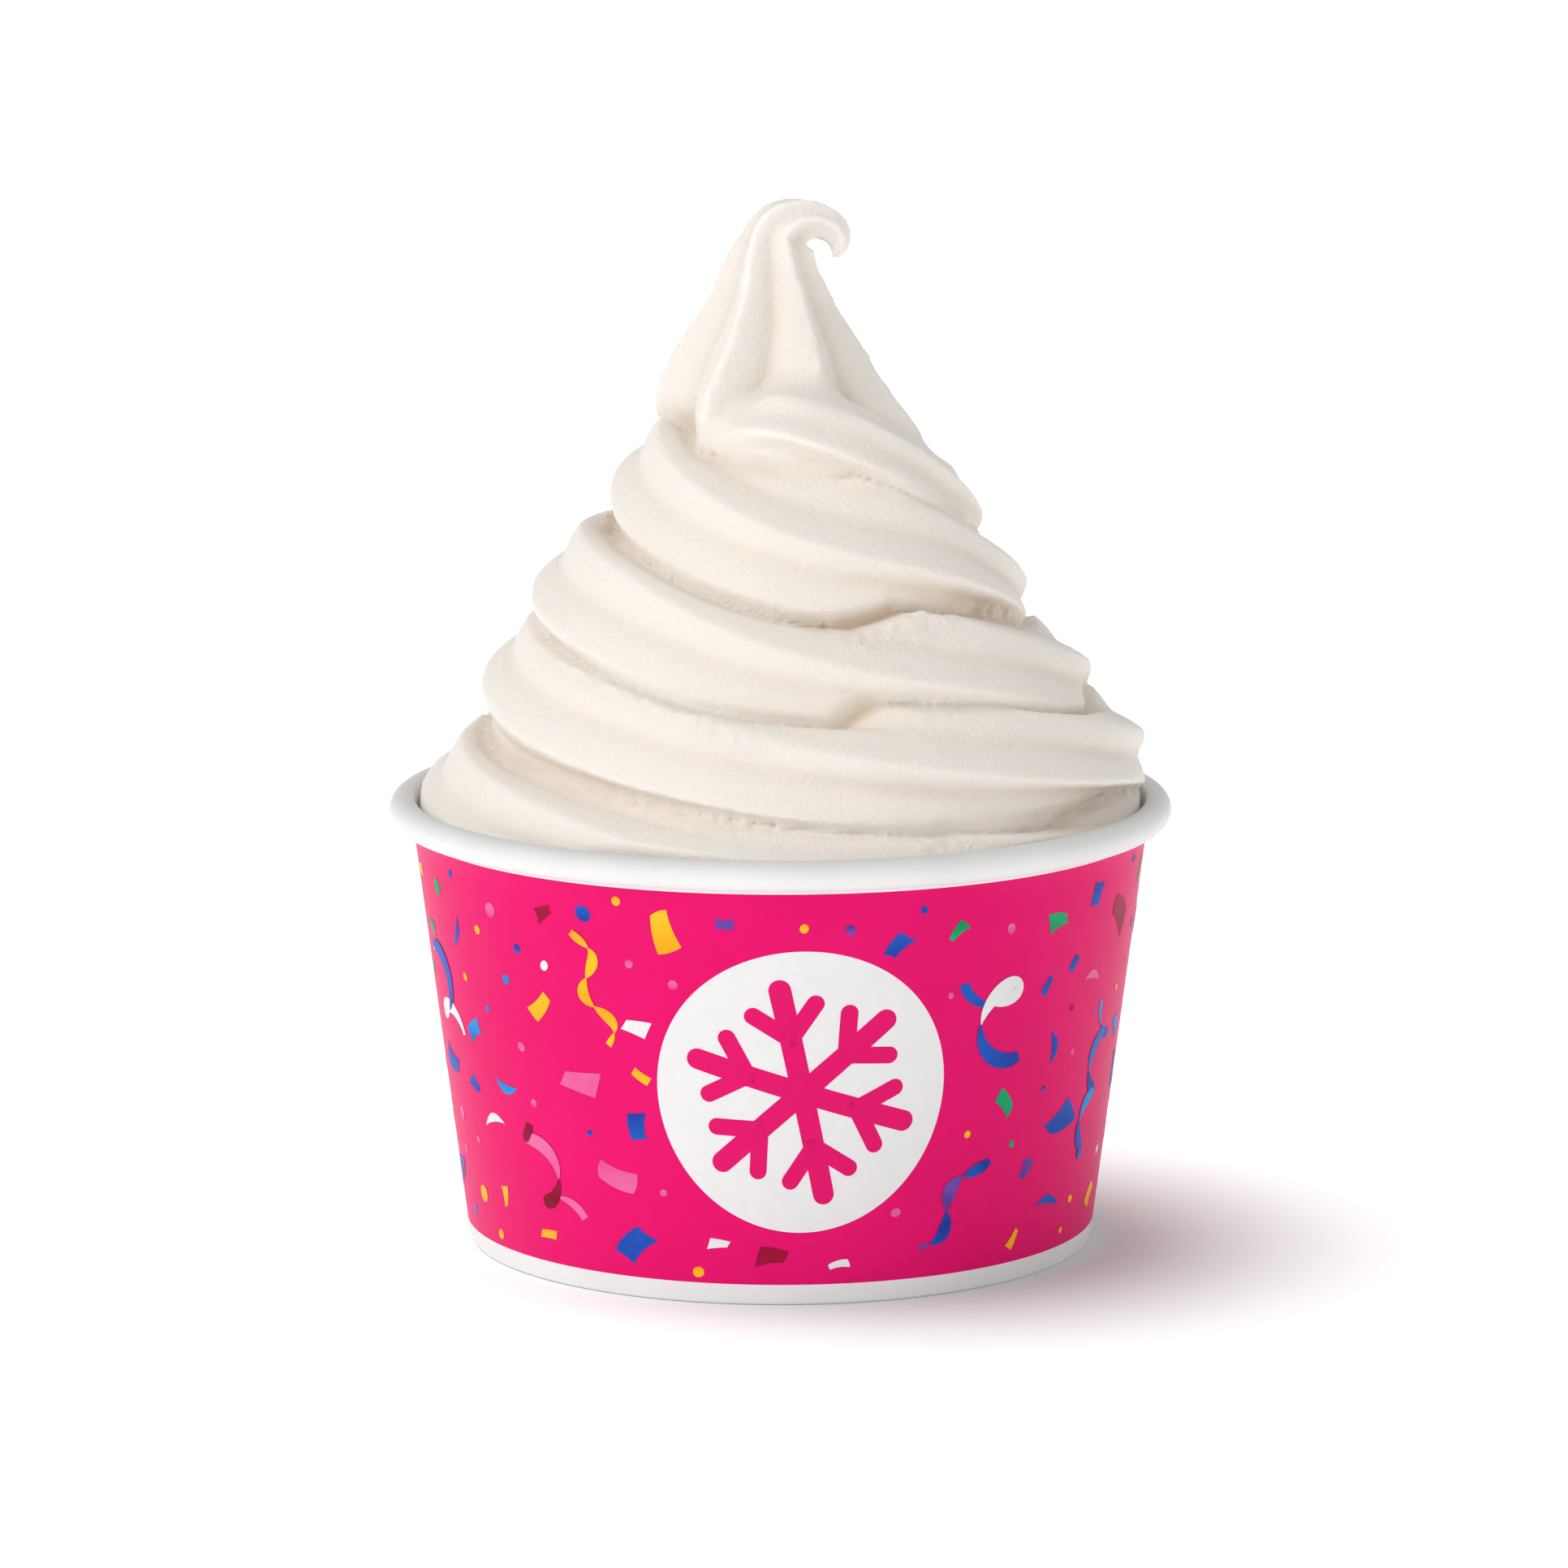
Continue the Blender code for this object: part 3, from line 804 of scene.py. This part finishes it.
def build_cup():
    rim_height = CUP_HEIGHT - RIM_TUBE
    inner_side = wall_radius(rim_height) - BOARD
    base_top = BASE_UNDERSIDE + BASE_THICKNESS
    join_angle = math.degrees(math.acos((inner_side - RIM_CENTRE_RADIUS) / RIM_TUBE))
    ring_inside = FOOT_RADIUS - FOOT_RING_WIDTH
    profile = [(0.0, BASE_UNDERSIDE), (wall_radius(BASE_UNDERSIDE) - FOOT_RING_WIDTH, BASE_UNDERSIDE)]
    profile += [(ring_inside, FOOT_CHAMFER), (ring_inside + FOOT_CHAMFER, 0.0)]
    profile += arc(FOOT_RADIUS - FOOT_ROUNDING, FOOT_ROUNDING, FOOT_ROUNDING, -90.0, 0.0, 5)
    for height in (WHITE_BAND, *OUTER_RINGS, PRINT_TOP):
        profile.append((wall_radius(height), height))
    profile += arc(RIM_CENTRE_RADIUS, rim_height, RIM_TUBE, RIM_START_ANGLE, join_angle, 26)
    for height in (*INNER_RINGS, base_top):
        profile.append((wall_radius(height) - BOARD, height))
    profile.append((0.0, base_top))
    cup = lathe("paper_cup", profile, CUP_SEGMENTS)
    shade_smooth(cup)
    cup.data.materials.append(board_material("white_board", WHITE, WHITE_DARKER))
    cup.data.materials.append(board_material("pink_print", PINK, PINK_DARKER))
    for face in cup.data.polygons:
        x, y, z = face.center / MM
        outside = math.hypot(x, y) > wall_radius(z) - 0.2
        if outside and WHITE_BAND < z < PRINT_TOP:
            face.material_index = 1
    cup.data.update()
    return cup


# Print

class Print:
    """Thin shapes of one ink, collected and laid on the wall."""

    def __init__(self):
        self.inks = {ink: ([], [], []) for ink in INKS}

    def lay(self, ink, azimuth, height, grid, tone, lift=0.0):
        """grid: rows of (sideways, up) points in millimetres, from the place on the wall."""
        points, faces, tones = self.inks[ink]
        first = len(points)
        rows, columns = grid.shape[:2]
        lifts = np.broadcast_to(lift, (rows, columns))
        for r in range(rows):
            for c in range(columns):
                sideways, up = grid[r, c]
                z = height + up
                radius = wall_radius(z) + INK_LIFT + lifts[r, c]
                angle = math.radians(azimuth - 90.0) + sideways / wall_radius(height)
                points.append((radius * math.cos(angle), radius * math.sin(angle), z))
        tones.extend(np.clip(np.broadcast_to(tone, (rows, columns)), 0.0, 1.0).ravel().tolist())
        for r in range(rows - 1):
            for c in range(columns - 1):
                k = first + r * columns + c
                faces.append((k, k + 1, k + columns + 1, k + columns))

    def build(self):
        objects = []
        for ink, (points, faces, tones) in self.inks.items():
            if not points:
                continue
            obj = mesh_object("print_" + ink, points, faces)
            data = obj.data.attributes.new("tone", "FLOAT", "POINT").data
            data.foreach_set("value", np.array(tones, np.float32))
            shade_smooth(obj)
            obj.data.materials.append(ink_material("ink_" + ink, *INKS[ink]))
            objects.append(obj)
        return objects


def disc(radius, squash=1.0, turn=0.0, steps=32):
    rings = max(2, int(radius / 1.2) + 1)
    angle = np.linspace(0.0, 2.0 * math.pi, steps + 1)
    size = np.linspace(0.0, radius, rings + 1)[:, None]
    x = size * np.cos(angle)[None, :]
    y = size * np.sin(angle)[None, :] * squash
    return rotate(np.stack((x, y), axis=2), turn)


def rotate(grid, turn):
    c = math.cos(math.radians(turn))
    s = math.sin(math.radians(turn))
    return np.stack((grid[..., 0] * c - grid[..., 1] * s, grid[..., 0] * s + grid[..., 1] * c), axis=-1)


def flake(length, width, taper, bend, skew, dent, turn):
    """Four-sided scrap of paper with curved sides."""
    s = np.linspace(-0.5, 0.5, 9)[:, None]
    t = np.linspace(-0.5, 0.5, 6)[None, :]
    across = t * width * (1.0 + taper * s)
    along = s * length + skew * t * width + dent * np.sign(s) * (0.25 - t ** 2) * width
    sideways = across + bend * length * (0.25 - s ** 2)
    return rotate(np.stack((sideways, along + 0.0 * across), axis=2), turn)


def crescent(length, width, bend, turn):
    """Thin curved sliver with pointed ends."""
    s = np.linspace(-0.5, 0.5, 15)[:, None]
    t = np.linspace(-0.5, 0.5, 4)[None, :]
    swell = np.maximum(0.06, 1.0 - (2.0 * s) ** 2)
    sideways = t * width * swell + bend * length * (0.25 - s ** 2)
    return rotate(np.stack((sideways, s * length + 0.0 * t), axis=2), turn)


def ribbon(sheet, inks, azimuth, height, path, width, twists, phase=0.0, ends=0.35):
    """Paper ribbon along a path; it turns over at each twist, where it is thin."""
    steps = len(path)
    tangent = np.gradient(path, axis=0)
    tangent /= np.linalg.norm(tangent, axis=1)[:, None]
    normal = np.stack((-tangent[:, 1], tangent[:, 0]), axis=1)
    s = np.linspace(0.0, 1.0, steps)
    roll = np.cos(math.pi * twists * s + phase)
    shown = np.maximum(0.10, np.abs(roll) ** 0.7) * width
    shown *= ends + (1.0 - ends) * np.sin(math.pi * np.clip(s, 0.02, 0.98)) ** 0.35
    t = np.linspace(-0.5, 0.5, 4)
    grid = path[:, None, :] + normal[:, None, :] * (shown[:, None] * t[None, :])[..., None]
    lift = 0.02 + 0.07 * s[:, None]
    tone = 0.5 + 0.5 * np.abs(roll)[:, None] * np.cos(9.0 * s)[:, None]
    start = 0
    for k in range(1, steps):
        ended = k == steps - 1
        if ended or (roll[k] > 0.0) != (roll[k - 1] > 0.0):
            ink = inks[0] if roll[k - 1] > 0.0 else inks[1]
            part = slice(start, k + 1)
            sheet.lay(ink, azimuth, height, grid[part], tone[part], lift[part])
            start = k


def wave_path(length, swing, waves, turn, fade=0.0, steps=160):
    s = np.linspace(0.0, 1.0, steps)
    sideways = swing * np.sin(2.0 * math.pi * waves * s) * (1.0 - fade * s)
    return rotate(np.stack((sideways, (s - 0.5) * length), axis=1), turn)


def coil_path(length, size, loops, turn, shrink=0.0, steps=220):
    """Path that drifts along while it goes round in loops."""
    s = np.linspace(0.0, 1.0, steps)
    radius = size * (1.0 - shrink * s)
    angle = 2.0 * math.pi * loops * s
    sideways = radius * np.cos(angle)
    along = (s - 0.5) * length + 0.75 * radius * np.sin(angle)
    return rotate(np.stack((sideways, along), axis=1), turn)


def badge(sheet):
    """White disc with a plain snow crystal."""
    sheet.lay("white", BADGE_AZIMUTH, BADGE_HEIGHT, disc(BADGE_RADIUS, steps=144), 0.55, 0.0)
    for arm in range(6):
        turn = CRYSTAL_TILT + 60.0 * arm
        stroke(sheet, (0.0, 0.0), (0.0, ARM_LENGTH), ARM_WIDTH, turn)
        for side in (-1.0, 1.0):
            stroke(sheet, (0.0, BRANCH_FOOT), (side * BRANCH_SIDE, BRANCH_END), BRANCH_WIDTH, turn)
    sheet.lay("magenta", BADGE_AZIMUTH, BADGE_HEIGHT, disc(2.6), 0.5, 0.05)


def stroke(sheet, start, end, width, turn):
    """Straight bar with round ends."""
    start = np.array(start)
    end = np.array(end)
    length = np.linalg.norm(end - start)
    along = (end - start) / length
    across = np.array((-along[1], along[0]))
    half = 0.5 * width
    ends = half * np.sin(np.linspace(-0.5 * math.pi, 0.0, 8))
    middle = np.linspace(0.0, length, max(3, int(length / 1.5)) + 1)[1:-1]
    s = np.concatenate((ends, middle, length - ends[::-1]))
    over = np.maximum(0.0, np.maximum(-s, s - length))
    wide = np.sqrt(np.maximum(1e-4, half ** 2 - over ** 2))
    t = np.linspace(-1.0, 1.0, 5)
    grid = start + s[:, None, None] * along + (wide[:, None] * t[None, :])[..., None] * across
    sheet.lay("magenta", BADGE_AZIMUTH, BADGE_HEIGHT, rotate(grid, turn), 0.5, 0.03)


def streamers(sheet):
    """Long ribbons round the cup; returns the azimuth, height, half width and half height of each."""
    taken = []

    def place(inks, azimuth, height, path, width, twists, phase=0.0, ends=0.35):
        ribbon(sheet, inks, azimuth, height, path, width, twists, phase, ends)
        reach = np.abs(path).max(axis=0)
        taken.append((azimuth, height, float(reach[0]) + 1.2, float(reach[1]) + 1.2))

    place(("blue", "white"), 37.0, 42.0, coil_path(13.0, 4.2, 1.35, 200.0, 0.15), 3.0, 2.0, 0.5)
    place(("orange", "orange"), -31.0, 46.0, wave_path(17.0, 1.9, 1.6, 14.0, 0.2), 1.9, 4.0, 0.4)
    place(("rose", "wine"), -44.0, 17.0, coil_path(17.0, 2.9, 1.8, 28.0, 0.4), 2.3, 3.0, 0.2)
    place(("violet", "blue"), 31.0, 14.0, wave_path(16.0, 2.0, 1.2, -38.0, 0.3), 2.3, 3.0, 0.9)
    place(("sky", "blue"), 66.0, 27.0, coil_path(24.0, 2.6, 2.7, 168.0, 0.5), 2.0, 6.0, 0.3)
    place(("blue", "white"), -72.0, 40.0, coil_path(15.0, 3.6, 1.6, 20.0, 0.3), 2.6, 2.0, 1.9)
    place(("wine", "rose"), 92.0, 47.0, wave_path(18.0, 2.4, 1.4, 60.0, 0.1), 2.3, 3.0)
    place(("orange", "white"), 128.0, 24.0, wave_path(19.0, 2.1, 1.8, -12.0, 0.3), 2.0, 4.0)
    place(("blue", "sky"), 166.0, 43.0, coil_path(16.0, 3.3, 1.9, 100.0, 0.3), 2.4, 3.0)
    place(("violet", "blue"), 203.0, 20.0, wave_path(18.0, 2.2, 1.3, 24.0, 0.2), 2.2, 3.0)
    place(("rose", "wine"), 236.0, 45.0, coil_path(15.0, 2.8, 1.7, 70.0, 0.3), 2.2, 3.0)
    return taken


def scatter(sheet, taken):
    """Dots, scraps and slivers of paper, spread evenly by a seeded draw."""
    draw = random.Random(CONFETTI_SEED)
    inks = ["blue"] * 6 + ["orange"] * 6 + ["white"] * 3 + ["green"] * 3
    inks += ["sky"] * 3 + ["violet"] * 2 + ["rose"] * 6 + ["wine"]
    placed = []
    sizes = [3.6] * 26 + [2.6] * 44 + [1.9] * 60 + [1.2] * 90
    for size in sizes:
        for attempt in range(60):
            azimuth = draw.uniform(-180.0, 180.0)
            height = draw.uniform(WHITE_BAND + size + 0.4, WALL_TOP_HEIGHT - 1.4 - size)
            if clear(azimuth, height, size, placed, taken):
                break
        else:
            continue
        placed.append((azimuth, height, size))
        ink = draw.choice(inks)
        turn = draw.uniform(0.0, 360.0)
        tilt = draw.uniform(-0.7, 0.7)
        if size > 3.0:
            grid = draw_scrap(draw, draw.uniform(5.4, 6.8), draw.uniform(2.8, 3.8), turn)
        elif size > 2.2:
            if draw.random() < 0.3:
                length = draw.uniform(4.4, 6.0)
                grid = crescent(length, draw.uniform(1.1, 1.6), draw.uniform(0.4, 0.8), turn)
            else:
                grid = draw_scrap(draw, draw.uniform(3.4, 4.6), draw.uniform(1.9, 2.7), turn)
        elif size > 1.5:
            if draw.random() < 0.4:
                grid = disc(draw.uniform(1.05, 1.4), draw.uniform(0.85, 1.0), turn)
            else:
                grid = draw_scrap(draw, draw.uniform(2.4, 3.2), draw.uniform(1.0, 1.8), turn)
        else:
            grid = disc(draw.uniform(0.5, 0.85), draw.uniform(0.8, 1.0), turn)
        reach = np.abs(grid[..., 1]).max() + 1e-6
        tone = 0.5 + tilt * grid[..., 1] / reach
        sheet.lay(ink, azimuth, height, grid, tone, 0.012)


def draw_scrap(draw, length, width, turn):
    taper = draw.uniform(-0.9, 0.9)
    bend = draw.uniform(-0.35, 0.35)
    skew = draw.uniform(-0.4, 0.4)
    dent = draw.uniform(-0.5, 0.5)
    return flake(length, width, taper, bend, skew, dent, turn)


def clear(azimuth, height, size, placed, taken):
    def apart(other_azimuth, other_height):
        angle = (azimuth - other_azimuth + 180.0) % 360.0 - 180.0
        return math.radians(angle) * wall_radius(height), height - other_height

    sideways, up = apart(BADGE_AZIMUTH, BADGE_HEIGHT)
    if math.hypot(sideways, up) < BADGE_RADIUS + size + 0.6:
        return False
    for other_azimuth, other_height, wide, tall in taken:
        sideways, up = apart(other_azimuth, other_height)
        if abs(sideways) < wide + size * 0.7 and abs(up) < tall + size * 0.7:
            return False
    for other_azimuth, other_height, other_size in placed:
        sideways, up = apart(other_azimuth, other_height)
        if math.hypot(sideways, up) < size + other_size + 2.2:
            return False
    return True


# Floor, light and camera

def build_floor():
    corners = [(x * FLOOR_HALF, y * FLOOR_HALF, 0.0) for x, y in ((-1, -1), (1, -1), (1, 1), (-1, 1))]
    floor = mesh_object("floor", corners, [(0, 1, 2, 3)])
    n = Nodes("floor", 0.9)
    n.set(Base_Color=(FLOOR_GREY, FLOOR_GREY, FLOOR_GREY, 1.0), Specular_IOR_Level=0.0)
    n.set(Emission_Color=(1.0, 1.0, 1.0, 1.0), Emission_Strength=FLOOR_GLOW)
    floor.data.materials.append(n.material)
    return floor


def build_sky():
    """White light from all round, less of it from overhead."""
    world = bpy.data.worlds.new("studio")
    bpy.context.scene.world = world
    world.use_nodes = True
    tree = world.node_tree
    background = tree.nodes["Background"]
    background.inputs["Color"].default_value = (1.0, 1.0, 1.0, 1.0)
    direction = tree.nodes.new("ShaderNodeTexCoord")
    parts = tree.nodes.new("ShaderNodeSeparateXYZ")
    overhead = tree.nodes.new("ShaderNodeMapRange")
    overhead.inputs["To Min"].default_value = SKY_SIDES
    overhead.inputs["To Max"].default_value = SKY_TOP
    tree.links.new(direction.outputs["Generated"], parts.inputs[0])
    tree.links.new(parts.outputs["Z"], overhead.inputs["Value"])
    tree.links.new(overhead.outputs["Result"], background.inputs["Strength"])


def build_lights(food, paper, floor):
    """Soft suns, each with its strength, its width in degrees, its direction and what it lights."""
    lights = (
        ("paper_key", 0.92, 45.0, (0.74, 0.58, -0.45), paper),
        ("food_key", 1.35, 26.0, (0.60, 0.44, -0.67), food),
        ("right", 0.22, 70.0, (-0.62, 0.70, -0.35), food),
        ("floor_light", 5.5, 58.0, (0.36, -0.10, -0.90), (floor,)),
    )
    for name, energy, angle, direction, lit in lights:
        sun_data = bpy.data.lights.new(name, "SUN")
        sun_data.energy = energy
        sun_data.angle = math.radians(angle)
        sun = bpy.data.objects.new(name, sun_data)
        bpy.context.scene.collection.objects.link(sun)
        sun.rotation_euler = Vector(direction).to_track_quat("-Z", "Y").to_euler()
        only = bpy.data.collections.new(name + "_on")
        for obj in lit:
            only.objects.link(obj)
        sun.light_linking.receiver_collection = only


def build_camera():
    camera_data = bpy.data.cameras.new("camera")
    camera_data.lens = LENS
    camera_data.sensor_width = SENSOR
    camera_data.shift_x = CAMERA_SHIFT
    camera_data.clip_end = 20.0
    camera = bpy.data.objects.new("camera", camera_data)
    scene = bpy.context.scene
    scene.collection.objects.link(camera)
    camera.location = CAMERA_PLACE
    camera.rotation_euler = (0.5 * math.pi - CAMERA_TILT, 0.0, 0.0)
    scene.camera = camera
    scene.view_settings.view_transform = "Standard"


swirl = build_swirl()
fill = build_fill(swirl.data.materials[0])
cup = build_cup()
sheet = Print()
badge(sheet)
scatter(sheet, streamers(sheet))
prints = sheet.build()

for pieces, node in (([swirl, fill], "yogurt"), ([cup] + prints, "cup")):
    for piece in pieces:
        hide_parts(node)
        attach(piece, "root")
build_sky()
build_lights((swirl, fill), (cup, *prints), build_floor())
build_camera()
